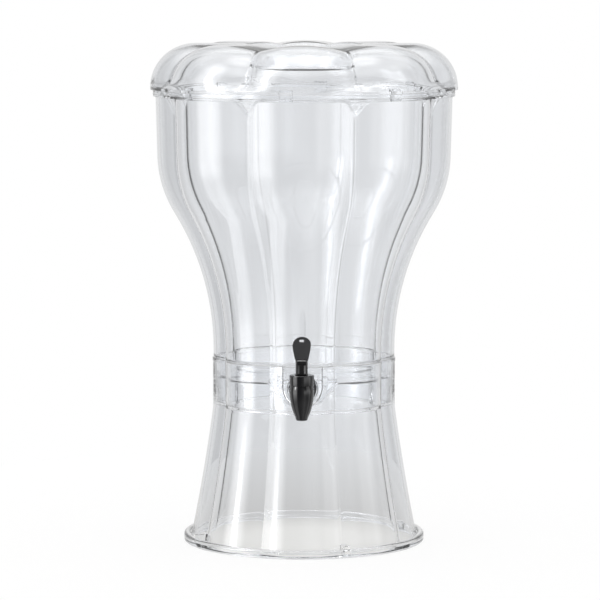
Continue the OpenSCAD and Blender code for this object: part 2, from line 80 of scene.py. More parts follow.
# Tank
TANK_WALL = 3.0
TANK_LOW, TANK_FOOT_R, TANK_FOOT_IN = 143.55, 89.7, 86.7
STEP_Z, NECK_R = 188.7, 92.5
BODY_R, SHOULDER_R, FLANGE_R, MOUTH_R, MOUTH_STEP = 149.2, 150.7, 153.3, 147.7, 0.6
FLARE_LOW, FLARE_HIGH, FLARE_SHARE = 196.0, 396.0, 0.7
FLANGE_LOW, RIM_Z, RIM_SHARE = 454.5, 461.0, 0.25
ARCH_LOW, ARCH_IN_LOW, ARCH_LEAN, ARCH_CURVE, RECESS_Z = 429.0, 431.0, 0.35, 0.3, 456.8
FLOOR_LOW, FLOOR_HIGH, FLOOR_ROUND = 169.2, 171.0, 0.8
SUMP_Z, SUMP_HALF, SUMP_SLOPE = 149.5, 13.0, math.radians(46)
SUMP_BACK, SUMP_FRONT = 52.1, 89.7
LOBE_Y, SUMP_R, SUMP_SHELL_R, SUMP_ROUND, SUMP_SHELL_ROUND = 44.39, 41.71, 43.81, 10.0, 11.0
PAD_R, PAD_BACK, PAD_FRONT = 15.2, 82.93, 90.6

# Lid
LID_R, LID_LOW, LID_HIGH = 156.0, 461.12, 508.0
DOME_R, DOME_LOW = 110.0, 464.0
LID_WALL = 2.5
WELL_R, WELL_Z, WELL_LEAN, WELL_LIP = 46.0, 484.5, 6 / 15.5, 1.8
PILLOW_R, PILLOW_GAIN, PILLOW_RISE = 60.0, 1.625, 8.0
WELL_DIP, DIP_R, DIP_Z, CREST_R, CREST_DEEP = 32.45, 52.0, 492.5, 66.0, 6.0
PLUG_R, PLUG_LOW = 146.7, 457.5
TAB_IN, TAB_OUT, TAB_WIDE, TAB_LOW, TAB_HIGH, TAB_ROUND = 142.22, 144.42, 13.0, 455.0, 466.0, 0.5
TAB_TURN = math.radians(-6)

# Tap
TAP_Y, SHANK_Z = 133.0, 166.0
SHANK_R, SHANK_HOLE_R, INLET_R, SHANK_BACK = 8.0, 8.3, 3.5, 70.43
TAP_FLANGE_R, TAP_FLANGE_BACK, TAP_FLANGE_FRONT = 13.0, 93.1, 96.1
WASHER_R, WASHER_THICK = 13.6, 2.5
NUT_FLATS, NUT_THICK = 24.0, 7.0
TIP_Z, TIP_RIM, BARREL_TOP, BARREL_R, TIP_R = 141.2, 1.2, 176.0, 12.3, 5.5
BARREL_SWELL, BARREL_SHOULDER, BARREL_FALL = 2.6, 0.78, 22.0
SEAT_Z, CHAMBER_R, OUTLET_R, CHAMBER_RIM = 153.5, 8.4, 3.6, 170.7
BONNET_R, BONNET_WALL, BONNET_TOP, PLUG_DEEP, BONNET_PLUG_R = 12.2, 1.5, 186.2, 172.0, 9.4
SLOT_Z, SLOT_HALF, SLOT_BACK, PLATE_Z = 179.3, 6.5, -3.0, 177.7
PIN_Z, PIN_R, PIN_EYE_R, CRANK = 183.0, 1.1, 2.4, 4.0
CAM_Z, CAM_R = 181.9, 1.5
LEVER_HALF, LEVER_FRONT, LEVER_BACK, PADDLE_FRONT = 5.9, 6.4, 2.4, 4.8
LEVER_TOP, LEDGE_Z, HEAD_R, LEVER_SWING = 224.2, 201.6, 9.0, math.radians(35)
BLOCK_CORNER, LEDGE_CHAMFER = 1.2, 1.4
HOLE_Z, HOLE_HALF, HOLE_TALL, HOLE_ROUND = 220.2, 2.3, 1.2, 1.15
SINK_DEEP, SINK_WIDE, SINK_TALL = 0.9, 1.5, 1.9
RECESS_LOW, RECESS_HIGH, RECESS_HALF, RECESS_DEEP, RECESS_FLARE = 187.7, 198.0, 2.2, 1.4, 2.4
STEM_R, STEM_BORE_R, BAR_Z, BAR_HALF = 1.6, 1.95, 183.75, 1.2
KNOB_R, KNOB_Z, KNOB_TALL, SHOULDER_Z, SHOULDER_THICK = 2.4, 155.8, 3.0, 168.6, 1.4
COIL_R, WIRE_R, COIL_LOW, COIL_HIGH, COIL_TURNS = 4.6, 0.35, 168.95, 177.35, 5
CUP_FLEX_LOW, CUP_FLEX_HIGH = 160.4, 169.3


class DispenserSizes(bpy.types.PropertyGroup):
    """Fineness and roundings of the clear shells and the tap"""
    lobe_steps: bpy.props.IntProperty(
        name="Steps in a lobe", description="Faces across one lobe of a clear shell", default=44, min=20, max=80)
    round_steps: bpy.props.IntProperty(
        name="Steps in a rounding", description="Faces across a rounded corner", default=5, min=2, max=12)
    outer_soft: bpy.props.FloatProperty(
        name="Outer valley rounding", description="Half the turn over which two lobes melt together on the outer face",
        default=math.radians(0.6), min=0.001, max=0.1, subtype="ANGLE", unit="ROTATION")
    inner_soft: bpy.props.FloatProperty(
        name="Inner valley rounding", description="Half the turn over which two lobes melt together on the inner face",
        default=math.radians(2.2), min=0.001, max=0.1, subtype="ANGLE", unit="ROTATION")
    edge_round: bpy.props.FloatProperty(
        name="Edge rounding", description="Rounding of the free edges of the clear shells",
        default=0.0005, min=0.0001, max=0.0013, subtype="DISTANCE", unit="LENGTH")
    tap_round: bpy.props.FloatProperty(
        name="Tap rounding", description="Rounding of the tap's edges",
        default=0.0004, min=0.0001, max=0.0006, subtype="DISTANCE", unit="LENGTH")


class DispenserColours(bpy.types.PropertyGroup):
    """Colours of the dispenser and its studio"""
    clear: bpy.props.FloatVectorProperty(
        name="Clear plastic", description="Tint of the clear plastic",
        default=(0.976, 0.982, 0.991), min=0, max=1, subtype="COLOR")
    gloss_black: bpy.props.FloatVectorProperty(
        name="Glossy black", description="Colour of the barrel, the bonnet and the nut",
        default=(0.005, 0.005, 0.006), min=0, max=1, subtype="COLOR")
    satin_black: bpy.props.FloatVectorProperty(
        name="Satin black", description="Colour of the lever and the stem",
        default=(0.034, 0.034, 0.036), min=0, max=1, subtype="COLOR")
    rubber: bpy.props.FloatVectorProperty(
        name="Seal rubber", description="Colour of the washers and the seat cup",
        default=(0.030, 0.030, 0.032), min=0, max=1, subtype="COLOR")
    steel: bpy.props.FloatVectorProperty(
        name="Steel", description="Colour of the pin and the spring",
        default=(0.62, 0.61, 0.60), min=0, max=1, subtype="COLOR")
    floor: bpy.props.FloatVectorProperty(
        name="Floor", description="Colour of the studio floor",
        default=(0.92, 0.92, 0.915), min=0, max=1, subtype="COLOR")


def sizes():
    return bpy.context.scene.dispenser_sizes


def colours():
    return bpy.context.scene.dispenser_colours


# Wires, turned forms and closed prisms


def wire(corners, closed, steps=None):
    """A wire in the XZ plane through corners of (across, up, rounding)."""
    bm = bmesh.new()
    verts = [bm.verts.new((x, 0, z)) for x, z, _ in corners]
    ends = verts[1:] + verts[:1] if closed else verts[1:]
    for start, end in zip(verts, ends):
        bm.edges.new((start, end))
    for vert, corner in zip(verts, corners):
        if corner[2]:
            bmesh.ops.bevel(
                bm, geom=[vert], offset=corner[2], offset_type="OFFSET", affect="VERTICES",
                segments=steps or sizes().round_steps, profile=0.5, material=-1)
    return bm


def close_up(bm):
    bmesh.ops.remove_doubles(bm, verts=bm.verts, dist=1e-4)
    bmesh.ops.recalc_face_normals(bm, faces=bm.faces)
    return bm


def turned(corners, steps=96, closed=True):
    """The wire spun once round Z. An open wire starts and ends on the axis."""
    bm = wire(corners, closed)
    bmesh.ops.spin(
        bm, geom=bm.verts[:] + bm.edges[:], cent=(0, 0, 0), axis=(0, 0, 1), dvec=(0, 0, 0),
        angle=2 * math.pi, steps=steps, use_merge=True, use_normal_flip=False, use_duplicate=False)
    return close_up(bm)


def pushed(bm, faces, vec):
    """Pushes flat faces along a vector into a closed form."""
    grown = bmesh.ops.extrude_face_region(bm, geom=faces, use_keep_orig=True)["geom"]
    bmesh.ops.translate(bm, vec=vec, verts=[v for v in grown if isinstance(v, bmesh.types.BMVert)])
    return close_up(bm)


def upright(half, low, high, low_round, high_round):
    """Corners of an upright outline, with one rounding below and one above."""
    return [(-half, low, low_round), (half, low, low_round), (half, high, high_round), (-half, high, high_round)]


def prism(corners, back, front, steps=None):
    """A closed outline in X and Z, pushed through from one depth to another in front of the axis."""
    bm = wire(corners, True, steps)
    face = bmesh.ops.contextual_create(bm, geom=bm.edges[:])["faces"]
    return pushed(moved(bm, y=-back), face, (0, back - front, 0))


def moved(bm, x=0.0, y=0.0, z=0.0):
    bmesh.ops.translate(bm, vec=(x, y, z), verts=bm.verts)
    return bm


def laid_forward(bm):
    """Turns a form from the Z axis to the shank's axis, with its heights as depths in front of the tank's axis."""
    bmesh.ops.rotate(bm, cent=(0, 0, 0), matrix=Matrix.Rotation(math.pi / 2, 3, "X"), verts=bm.verts)
    return moved(bm, z=SHANK_Z)


def laid_across(bm, y, z):
    """Turns a form from the Z axis to a line along X."""
    bmesh.ops.rotate(bm, cent=(0, 0, 0), matrix=Matrix.Rotation(math.pi / 2, 3, "Y"), verts=bm.verts)
    return moved(bm, y=y, z=z)


def at_tap(bm):
    return moved(bm, y=-TAP_Y)


def rod(r, low, high, edge=0.0, steps=72):
    """A round rod on the Z axis with rounded ends."""
    return turned([(0, low, 0), (r, low, edge), (r, high, edge), (0, high, 0)], steps, closed=False)


def bevelled(bm, edges, offset, segments, clamp=False):
    bmesh.ops.bevel(
        bm, geom=edges, offset=offset, offset_type="OFFSET", affect="EDGES", segments=segments, profile=0.5,
        material=-1, clamp_overlap=clamp)
    return bm


def softened(bm, offset, segments=3, least=math.radians(30)):
    """Rounds every edge that turns by more than an angle."""
    edges = [e for e in bm.edges if len(e.link_faces) == 2 and e.calc_face_angle() > least]
    return bevelled(bm, edges, offset, segments, clamp=True)


def box(bm, size, centre, turn=0.0):
    """Adds a box to a form and turns it round the Z axis."""
    made = bmesh.ops.create_cube(bm, size=1)["verts"]
    bmesh.ops.scale(bm, vec=size, verts=made)
    bmesh.ops.translate(bm, vec=centre, verts=made)
    bmesh.ops.rotate(bm, cent=(0, 0, 0), matrix=Matrix.Rotation(turn, 3, "Z"), verts=made)
    return bm


def studs(count, first, inner, outer, wide, low, high, edge):
    """A ring of small rounded blocks, between two radii and two heights."""
    bm = bmesh.new()
    for k in range(count):
        centre = ((inner + outer) / 2, 0, (low + high) / 2)
        box(bm, (outer - inner, wide, high - low), centre, first + 2 * math.pi * k / count)
    return bevelled(bm, bm.edges[:], edge, 2)


def flared(bm, depth, wide, tall=1.0, centre=0.0):
    """Widens what lies in front of a depth, and makes it taller about a height."""
    for vert in bm.verts:
        if vert.co.y < -depth:
            vert.co.x *= wide
            vert.co.z = centre + (vert.co.z - centre) * tall
    return bm


def combine(bm, tool, how):
    """The form after a closed tool is joined to it (UNION), cut from it (DIFFERENCE) or kept in it (INTERSECT)."""
    objects = []
    for part in (bm, tool):
        mesh = bpy.data.meshes.new("combine")
        part.to_mesh(mesh)
        part.free()
        objects.append(bpy.data.objects.new("combine", mesh))
        bpy.context.scene.collection.objects.link(objects[-1])
    modifier = objects[0].modifiers.new("combine", "BOOLEAN")
    modifier.object = objects[1]
    modifier.operation = how
    modifier.solver = "EXACT"
    view = bpy.context.evaluated_depsgraph_get()
    result = bmesh.new()
    result.from_mesh(objects[0].evaluated_get(view).to_mesh())
    for made in objects:
        mesh = made.data
        bpy.data.objects.remove(made)
        bpy.data.meshes.remove(mesh)
    if not result.faces:
        raise RuntimeError("a combined form came out empty")
    return result


# Lobes


def fall(turn):
    """Share of the crest radius that a lobe has lost at a turn from its crest."""
    depth = (1 - LOBE_CENTRE) ** 2 - (LOBE_CENTRE * math.sin(turn)) ** 2
    return 1 - LOBE_CENTRE * math.cos(turn) - math.sqrt(depth)


VALLEY = fall(HALF_LOBE)


def soft_fall(turn, soft):
    """The fall with the crease between two lobes rounded out over a turn on each side of it."""
    from_valley = HALF_LOBE - abs(turn)
    if from_valley >= soft:
        return fall(turn)
    edge, small = HALF_LOBE - soft, 1e-4
    slope = (fall(edge + small) - fall(edge - small)) / (2 * small)
    return fall(edge) + slope * (soft ** 2 - from_valley ** 2) / (2 * soft)


def from_crest(turn):
    return (turn - FRONT + HALF_LOBE) % LOBE_TURN - HALF_LOBE


def crowded(turn):
    """Moves evenly spaced turns closer together at the valleys."""
    near = from_crest(turn)
    placed = HALF_LOBE * (1 - (1 - abs(near) / HALF_LOBE) ** VALLEY_CROWD)
    return turn - near + math.copysign(placed, near)


def soft_max(a, b, soft=0.25):
    return (a + b + math.hypot(a - b, soft)) / 2


def lobed(bm, pull):
    """Presses lobes into a round form.

    pull(r, z) gives how far the fall moves a point in and down, its least radius and whether it is on the inner face.
    """
    falls = {}
    for vert in bm.verts:
        r = math.hypot(vert.co.x, vert.co.y)
        if r < 1e-3:
            continue
        turn = crowded(math.atan2(vert.co.y, vert.co.x))
        inward, down, least, inside = pull(r, vert.co.z)
        key = round(from_crest(turn), 6), inside
        if key not in falls:
            falls[key] = soft_fall(key[0], sizes().inner_soft if inside else sizes().outer_soft)
        kept = r - inward * falls[key]
        if least:
            kept = soft_max(kept, least)
        vert.co = (kept * math.cos(turn), kept * math.sin(turn), vert.co.z - down * falls[key])
    return bm


def side_at(points, z):
    """Radius of a side at a height, between its points in rising order."""
    for (low_r, low_z, _), (high_r, high_z, _) in zip(points, points[1:]):
        if z < high_z:
            return low_r + (high_r - low_r) * max(0, z - low_z) / (high_z - low_z)
    return points[-1][0]


def shell_steps():
    return LOBES * sizes().lobe_steps


def clear_edge():
    return sizes().edge_round / MM


# Clear shells


def skirt(low_r, low_z, high_r, high_z, steps=12):
    """Points of the flared skirt between its two ends."""
    points = []
    for k in range(1, steps):
        t = k / steps
        points.append((low_r + (high_r - low_r) * t - SKIRT_SAG * 4 * t * (1 - t), low_z + (high_z - low_z) * t, 0))
    return points


STAND_SIDE = (
    [(SKIRT_R, WEB_HIGH, 0)] + skirt(SKIRT_R, WEB_HIGH, COLLAR_R, COLLAR_LOW) + [(COLLAR_R, COLLAR_LOW, 0)])


def stand_section():
    edge = clear_edge()
    outside = STAND_SIDE[1:-1]
    inside = skirt(SKIRT_R - STAND_WALL, WEB_LOW, COLLAR_IN, COLLAR_LOW)
    return (
        [(RING_IN + RING_LIP, 0, 0.3), (FOOT_R, 0, 1.0), (FOOT_R, FOOT_HIGH, 2.4), (RING_IN, FOOT_HIGH, 1.4),
         (RING_IN, WEB_HIGH, 0.4), (SKIRT_R, WEB_HIGH, 0.4)]
        + outside
        + [(COLLAR_R, COLLAR_LOW, 4.0), (COLLAR_R, COLLAR_HIGH - BEAD_WIDE, 0.2),
           (COLLAR_R + BEAD_OUT, COLLAR_HIGH - BEAD_WIDE + BEAD_OUT, 0.3), (COLLAR_R + BEAD_OUT, COLLAR_HIGH, edge),
           (COLLAR_IN, COLLAR_HIGH, edge), (COLLAR_IN, LEDGE_HIGH, 0.5), (LEDGE_R, LEDGE_HIGH, edge),
           (LEDGE_R, LEDGE_LOW, edge), (COLLAR_IN, LEDGE_LOW, edge), (COLLAR_IN, COLLAR_LOW, 1.2)]
        + inside[::-1]
        + [(SKIRT_R - STAND_WALL, WEB_LOW, 1.0), (RING_IN + RING_LIP, WEB_LOW, 0.3)])


def stand_pull(r, z):
    """Full lobes on the skirt and the collar, none on the foot ring."""
    inside = r < side_at(STAND_SIDE, z) - STAND_WALL / 2
    if r > RING_IN - RING_LIP and z < FOOT_HIGH + 1:
        return 0, 0, 0, inside
    return r, 0, 0, inside


def notch(r, high, back, front, draft=0.0):
    """A U-shaped prism, open upward, that narrows toward its back by the draft."""
    form = prism(upright(r, NOTCH_Z - r, high, r - ROUND_GAP, 0), back, front, 24)
    for vert in form.verts:
        if vert.co.y > -(back + front) / 2:
            vert.co.x *= 1 - draft / r
            if vert.co.z < NOTCH_Z:
                vert.co.z += draft * (NOTCH_Z - vert.co.z) / r
    return form


def notch_bead():
    """The raised band around the notch, on the collar's front lobe."""
    centre = LOBE_CENTRE * COLLAR_R
    under, over = COLLAR_R - centre - STAND_WALL / 2, COLLAR_R - centre + NOTCH_BEAD_OUT
    low, high = LEDGE_HIGH + 1, COLLAR_HIGH - clear_edge()
    band = turned([(under, low, 0), (over, low, 0), (over, high, 0), (under, high, 0)], 160)
    bead = combine(
        moved(band, y=-centre), notch(NOTCH_R + BEAD_WIDE, COLLAR_HIGH, COLLAR_IN - BEAD_WIDE, COLLAR_R + 2),
        "INTERSECT")
    return softened(bead, 0.5, 2)


def stand_form():
    """Skirt, collar and foot ring with four lugs in the valleys, and the notch with its bead."""
    form = lobed(turned(stand_section(), shell_steps()), stand_pull)
    lugs = studs(LUGS, FRONT + HALF_LOBE, LUG_IN, LUG_OUT, LUG_WIDE, LUG_LOW, LUG_HIGH, LUG_ROUND)
    form = combine(form, lugs, "UNION")
    form = combine(form, notch_bead(), "UNION")
    cut = notch(NOTCH_CUT_R, COLLAR_HIGH + 6, NOTCH_BACK, COLLAR_R + 3, NOTCH_DRAFT)
    return combine(form, cut, "DIFFERENCE")


def flare(wall, steps=14):
    """The tank's flare as two tangent arcs, moved in by the wall for the inner face."""
    rise = FLARE_HIGH - FLARE_LOW
    turn = 2 * math.atan((BODY_R - NECK_R) / rise)
    out_r = rise / math.sin(turn) * FLARE_SHARE
    back_r = rise / math.sin(turn) - out_r
    points = []
    for k in range(steps + 1):
        a = turn * k / steps
        points.append((NECK_R + out_r - (out_r + wall) * math.cos(a), FLARE_LOW + (out_r + wall) * math.sin(a), 0))
    for k in range(steps - 1, -1, -1):
        a = turn * k / steps
        points.append(
            (BODY_R - back_r + (back_r - wall) * math.cos(a), FLARE_HIGH - (back_r - wall) * math.sin(a), 0))
    return points


TANK_SIDE = flare(0) + [(SHOULDER_R, FLANGE_LOW, 0)]


def arch_points(low, high, wall, steps=24):
    """Points of the wall under the rim, close enough together for the arches."""
    points = []
    for k in range(steps):
        z = low + (high - low) * k / steps
        points.append((side_at(TANK_SIDE, z) - wall, z, 0))
    return points


def tank_section():
    edge = clear_edge()
    return (
        [(0, FLOOR_LOW, 0), (TANK_FOOT_IN, FLOOR_LOW, 1.2), (TANK_FOOT_IN, TANK_LOW, edge),
         (TANK_FOOT_R, TANK_LOW, edge), (TANK_FOOT_R, STEP_Z, 0.5), (NECK_R, STEP_Z, 1.2)]
        + TANK_SIDE[:-1]
        + arch_points(ARCH_LOW, FLANGE_LOW, 0)
        + [(SHOULDER_R, FLANGE_LOW, 0.6), (FLANGE_R, FLANGE_LOW, edge), (FLANGE_R, RIM_Z, edge),
           (MOUTH_R, RIM_Z, edge), (MOUTH_R, RECESS_Z, 0.3), (MOUTH_R - MOUTH_STEP, RECESS_Z, 0.2)]
        + arch_points(ARCH_IN_LOW, RECESS_Z, TANK_WALL)[::-1]
        + flare(TANK_WALL)[::-1]
        + [(NECK_R - TANK_WALL, STEP_Z + TANK_WALL / 2, 1.5), (TANK_FOOT_IN, STEP_Z - TANK_WALL / 2, 1.5),
           (TANK_FOOT_IN, FLOOR_HIGH, FLOOR_ROUND), (0, FLOOR_HIGH, 0)])


def tank_pull(r, z):
    """Full lobes below, arches that close the valleys under the flange, and shallow lobes at the rim."""
    wall = TANK_WALL if r < side_at(TANK_SIDE, z) - TANK_WALL / 2 else 0
    low, high, top_r = ARCH_LOW, FLANGE_LOW, SHOULDER_R
    if wall:
        low, high, top_r = ARCH_IN_LOW, RECESS_Z, MOUTH_R - MOUTH_STEP
    if z > high - 0.01:
        return r * RIM_SHARE, 0, 0, bool(wall)
    if z < low:
        return r, 0, 0, bool(wall)
    least = (side_at(TANK_SIDE, low) - wall) * (1 - VALLEY) - 1
    t = (z - low) / (high - low)
    rise = ARCH_LEAN * t + ARCH_CURVE * (1 - math.sqrt(1 - t * t))
    return r, 0, least + (top_r * (1 - VALLEY * RIM_SHARE) - least) * rise, bool(wall)


def sump(low, half, high, edge, back, lobe_r):
    """A trough that widens upward, ended by the round of the front lobe."""
    run = (high - low) / math.tan(SUMP_SLOPE)
    corners = [(-half, low, edge), (half, low, edge), (half + run, high, 0), (-half - run, high, 0)]
    post = moved(rod(lobe_r, SUMP_Z - 20, FLOOR_HIGH + 20, steps=240), y=-LOBE_Y)
    return combine(prism(corners, back, SUMP_FRONT), post, "INTERSECT")


def tank_form():
    """The lobed vessel, its sump, and the pad and hole for the tap."""
    form = lobed(turned(tank_section(), shell_steps(), closed=False), tank_pull)
    thick = FLOOR_HIGH - FLOOR_LOW
    outer_half = SUMP_HALF + thick * math.tan(SUMP_SLOPE / 2)
    shell = sump(
        SUMP_Z - thick, outer_half, FLOOR_HIGH - thick / 2, SUMP_SHELL_ROUND, SUMP_BACK - TANK_WALL, SUMP_SHELL_R)
    hollow = sump(SUMP_Z, SUMP_HALF, FLOOR_HIGH + FLOOR_ROUND + 1, SUMP_ROUND, SUMP_BACK, SUMP_R)
    form = combine(form, shell, "UNION")
    form = combine(form, hollow, "DIFFERENCE")
    form = combine(form, laid_forward(rod(PAD_R, PAD_BACK, PAD_FRONT, 0.4, 128)), "UNION")
    return combine(form, laid_forward(rod(SHANK_HOLE_R, PAD_BACK - 3, PAD_FRONT + 3)), "DIFFERENCE")


def dome(wall, steps=18):
    """Points of the dome from its foot to the level crest."""
    points = []
    for k in range(steps + 1):
        a = math.pi / 2 * k / steps
        points.append((
            DOME_R + (LID_R - DOME_R - wall) * math.cos(a), DOME_LOW + (LID_HIGH - DOME_LOW - wall) * math.sin(a), 0))
    return points


def crest(z, steps=8):
    """Points of the level crest between the dome and the well."""
    return [(DOME_R + (CREST_R - DOME_R) * k / steps, z, 0) for k in range(1, steps + 1)]


def lid_section():
    edge = clear_edge()
    rim_out = WELL_R + (LID_HIGH - WELL_Z) * WELL_LEAN
    rim_in = rim_out + WELL_LIP
    return (
        [(0, WELL_Z - LID_WALL, 0), (WELL_R + WELL_LIP, WELL_Z - LID_WALL, 2.5), (rim_in, LID_HIGH - LID_WALL, 6.0)]
        + crest(LID_HIGH - LID_WALL)[::-1] + dome(LID_WALL)[::-1]
        + [(PLUG_R - LID_WALL, DOME_LOW, 1.0), (PLUG_R - LID_WALL, PLUG_LOW, edge), (PLUG_R, PLUG_LOW, edge),
           (PLUG_R, LID_LOW, 0.5), (LID_R, LID_LOW, edge)]
        + dome(0) + crest(LID_HIGH)
        + [(rim_out, LID_HIGH, 8.0), (WELL_R, WELL_Z, 3.5), (0, WELL_Z, 0)])


def mixed(a, b, share):
    """From a to b as the share goes from 0 to 1."""
    return a + (b - a) * min(1, max(0, share))


def lid_pull(r, z):
    """Shallow lobes at the rim, cushions on the dome and low waves at the well."""
    across = max(0, r - DOME_R) / (LID_R - DOME_R - LID_WALL / 2)
    up = (z - DOME_LOW) / (LID_HIGH - DOME_LOW - LID_WALL / 2)
    inside = math.hypot(across, up) < 1
    if r < PILLOW_R:
        return 0, mixed(0, WELL_DIP, (r - DIP_R) / (PILLOW_R - DIP_R)) if z > DIP_Z else 0, 0, inside
    inward = mixed(r * RIM_SHARE, (r - PILLOW_R) * PILLOW_GAIN, (z - DOME_LOW) / PILLOW_RISE)
    down = max(0, z - DOME_LOW) * PILLOW_GAIN
    if z > LID_HIGH - CREST_DEEP:
        down = mixed(WELL_DIP, down, (r - PILLOW_R) / (DOME_R - PILLOW_R))
    return inward, down, 0, inside


def lid_form():
    """The domed lid with a ring of tabs under its rim."""
    form = lobed(turned(lid_section(), shell_steps(), closed=False), lid_pull)
    tabs = studs(LOBES, FRONT + TAB_TURN, TAB_IN, TAB_OUT, TAB_WIDE, TAB_LOW, TAB_HIGH, TAB_ROUND)
    return combine(form, tabs, "UNION")


# Tap


def tap_edge():
    return sizes().tap_round / MM


def barrel_curve(steps=16):
    """Points of the barrel's side from its tip up."""
    points = []
    for k in range(1, steps):
        t = k / steps
        swell = (BARREL_R - TIP_R) * (1 - (1 - t) ** BARREL_SWELL)
        r = TIP_R + swell - BARREL_FALL * max(0, t - BARREL_SHOULDER) ** 2
        points.append((r, TIP_Z + TIP_RIM + (BARREL_TOP - TIP_Z - TIP_RIM) * t, 0))
    return points


def tap_body_form():
    """Barrel, shank and flange in one, hollow from the inlet to the outlet."""
    top = [(BARREL_R - 1.0, BARREL_TOP, tap_edge()), (0, BARREL_TOP, 0)]
    form = at_tap(turned([(0, TIP_Z, 0), (TIP_R, TIP_Z, 0.3)] + barrel_curve() + top, 128, closed=False))
    hollow = turned([
        (0, TIP_Z - 1, 0), (OUTLET_R + 0.6, TIP_Z - 1, 0), (OUTLET_R + 0.6, TIP_Z, 0), (OUTLET_R, TIP_Z + TIP_RIM, 0),
        (OUTLET_R, SEAT_Z, 0.3), (CHAMBER_R - 2.4, SEAT_Z, 0.3), (CHAMBER_R, SEAT_Z + 4.5, 0.5),
        (CHAMBER_R, CHAMBER_RIM, 0), (BONNET_PLUG_R, CHAMBER_RIM, 0), (BONNET_PLUG_R, BARREL_TOP + 1, 0),
        (0, BARREL_TOP + 1, 0)], 128, closed=False)
    form = combine(form, laid_forward(rod(SHANK_R, SHANK_BACK, TAP_Y, 0.6)), "UNION")
    form = combine(form, laid_forward(rod(TAP_FLANGE_R, TAP_FLANGE_BACK, TAP_FLANGE_FRONT, 0.6, 128)), "UNION")
    form = combine(form, at_tap(hollow), "DIFFERENCE")
    return combine(form, laid_forward(rod(INLET_R, SHANK_BACK - 2, TAP_Y)), "DIFFERENCE")


def bonnet_form():
    """The cap with its plug, the slot for the lever and the hole for the pin."""
    skirt_in = COIL_R + WIRE_R + 1.2
    form = turned([
        (STEM_BORE_R, PLATE_Z, 0), (skirt_in, PLATE_Z, 0.3), (skirt_in, PLUG_DEEP, 0.3),
        (BONNET_PLUG_R, PLUG_DEEP, 0.3), (BONNET_PLUG_R, BARREL_TOP, 0.2), (BONNET_R, BARREL_TOP, tap_edge()),
        (BONNET_R, BONNET_TOP, 0.9), (STEM_BORE_R, BONNET_TOP, 0)], 128)
    slot = prism(upright(SLOT_HALF, SLOT_Z, BONNET_TOP + 2, 0.5, 0), SLOT_BACK, BONNET_R)
    slot = combine(slot, rod(BONNET_R - BONNET_WALL, SLOT_Z - 1, BONNET_TOP + 3, steps=128), "INTERSECT")
    form = combine(form, slot, "DIFFERENCE")
    hole = laid_across(rod(PIN_R, -BONNET_R - 1, BONNET_R + 1, steps=32), -CRANK, PIN_Z)
    return at_tap(combine(form, hole, "DIFFERENCE"))


def paddle_outline():
    """Corners of the lever's flat paddle, in order round it."""
    neck_z = LEVER_TOP - HEAD_R - 2.0
    right = [
        (LEVER_HALF, PIN_Z, 0), (LEVER_HALF, LEDGE_Z - 1, 0.8), (LEVER_HALF + 0.7, LEDGE_Z + 0.4, 2.0),
        (HEAD_R, neck_z, 4.0), (HEAD_R, LEVER_TOP, HEAD_R - ROUND_GAP)]
    left = [(-x, z, edge) for x, z, edge in right]
    return left[:1] + right + left[:0:-1]


def lever_block():
    """The lever's thick lower half, with a chamfered ledge on top."""
    block = bmesh.new()
    side, near = LEVER_HALF - BLOCK_CORNER, BLOCK_CORNER - LEVER_FRONT
    corners = [(-LEVER_HALF, -LEVER_BACK), (-LEVER_HALF, near), (-side, -LEVER_FRONT),
               (side, -LEVER_FRONT), (LEVER_HALF, near), (LEVER_HALF, -LEVER_BACK)]
    base = block.faces.new([block.verts.new((x, y, PIN_Z)) for x, y in corners])
    pushed(block, [base], (0, 0, LEDGE_Z - PIN_Z))
    ledge = [e for e in block.edges if all(v.co.z > LEDGE_Z - 1 and v.co.y < -LEVER_BACK - 1 for v in e.verts)]
    return softened(bevelled(block, ledge, LEDGE_CHAMFER, 1), 0.2, 2)


def fork_gap(tilt):
    """Room for the stem in the lever's fork, at a tilt of the lever."""
    half = STEM_R + 0.6
    gap = box(bmesh.new(), (2 * half, CRANK, 2 * CRANK), (0, 1.5 * CRANK - half, 0))
    bmesh.ops.rotate(gap, cent=(0, 0, 0), matrix=Matrix.Rotation(tilt, 3, "X"), verts=gap.verts)
    return moved(gap, y=-CRANK, z=PIN_Z)


def head_hole(back):
    corners = upright(HOLE_HALF, HOLE_Z - HOLE_TALL, HOLE_Z + HOLE_TALL, HOLE_ROUND, HOLE_ROUND)
    return prism(corners, back, PADDLE_FRONT + 0.4)


def lever_form():
    """Paddle, block, eye for the pin and cam, less the fork, the countersunk hole and the recess."""
    arms = prism(upright(LEVER_HALF, CAM_Z - CAM_R * 0.8, CAM_Z + CAM_R * 0.7, 0.2, 0.2), 0, CRANK)
    form = softened(prism(paddle_outline(), LEVER_BACK, PADDLE_FRONT, 10), 0.5)
    for added in (
            lever_block(),
            laid_across(rod(PIN_EYE_R, -LEVER_HALF, LEVER_HALF, 0.3, 48), -CRANK, PIN_Z),
            arms,
            laid_across(rod(CAM_R, -LEVER_HALF + 0.01, LEVER_HALF - 0.01, 0.3, 48), 0, CAM_Z)):
        form = combine(form, added, "UNION")
    recess = prism(
        upright(RECESS_HALF, RECESS_LOW, RECESS_HIGH, 0.5, RECESS_HALF - ROUND_GAP),
        LEVER_FRONT - RECESS_DEEP, LEVER_FRONT + 1)
    for cut in (
            laid_across(rod(PIN_R + 0.05, -LEVER_HALF - 1, LEVER_HALF + 1, steps=48), -CRANK, PIN_Z),
            fork_gap(0),
            fork_gap(-LEVER_SWING),
            head_hole(LEVER_BACK - 1),
            flared(head_hole(PADDLE_FRONT - SINK_DEEP), PADDLE_FRONT, SINK_WIDE, SINK_TALL, HOLE_Z),
            flared(recess, LEVER_FRONT, RECESS_FLARE)):
        form = combine(form, cut, "DIFFERENCE")
    return at_tap(form)


